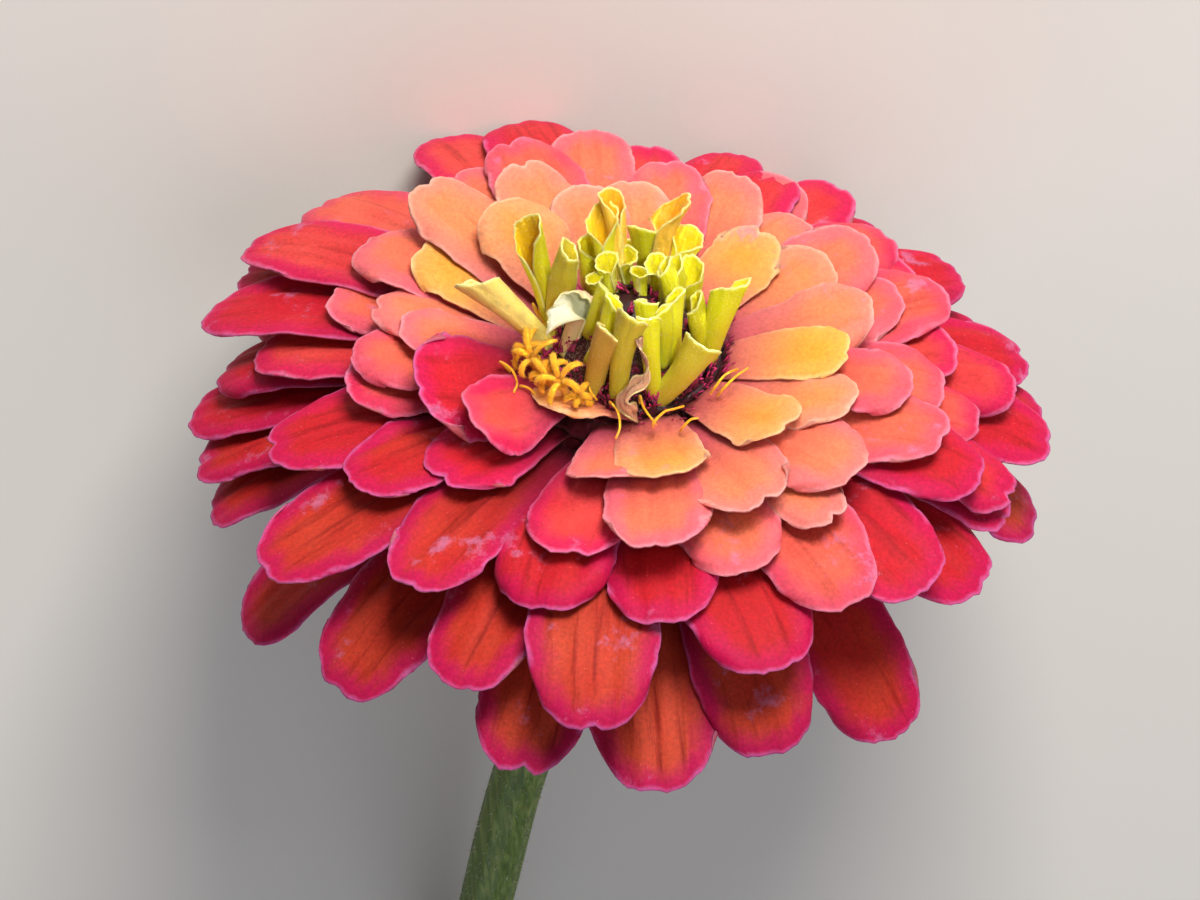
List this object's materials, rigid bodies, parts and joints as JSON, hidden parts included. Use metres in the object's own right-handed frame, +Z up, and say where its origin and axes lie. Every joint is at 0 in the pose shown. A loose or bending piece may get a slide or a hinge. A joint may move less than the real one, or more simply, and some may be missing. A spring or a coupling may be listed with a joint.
{
  "type": "zinnia flower",
  "caption": "Cut double zinnia, crimson to coral with peach inner petals and rolled lime young rays, lying on its back petals and stem.",
  "frame": {"origin": "under the middle of the flower's bounding box, on the surface that it lies on", "axes": "+Z up from the surface, +Y along the flower from the cut end of the stem towards the face of the bloom, +X across the bloom"},
  "size_m": [0.0942, 0.1248, 0.0846],
  "materials": {
    "stem_skin": "green plant skin with fine hairs",
    "bract_skin": "dry green bracts with dark edges",
    "crimson_petal": "soft crimson petal with pink edges",
    "coral_petal": "soft coral petal with pink edges",
    "peach_petal": "soft peach petal",
    "lime_petal": "firm lime and olive petal with fine hairs",
    "gold_floret": "fuzzy golden yellow",
    "maroon_scale": "dry maroon scales"
  },
  "bodies": {
    "root": {"stem": "stem_skin", "involucre": "bract_skin", "outer_rays": "crimson_petal", "middle_rays": "coral_petal", "inner_rays": "peach_petal", "young_rays": "lime_petal", "disc_florets": "gold_floret", "chaff": "maroon_scale"}
  },
  "joints": []
}
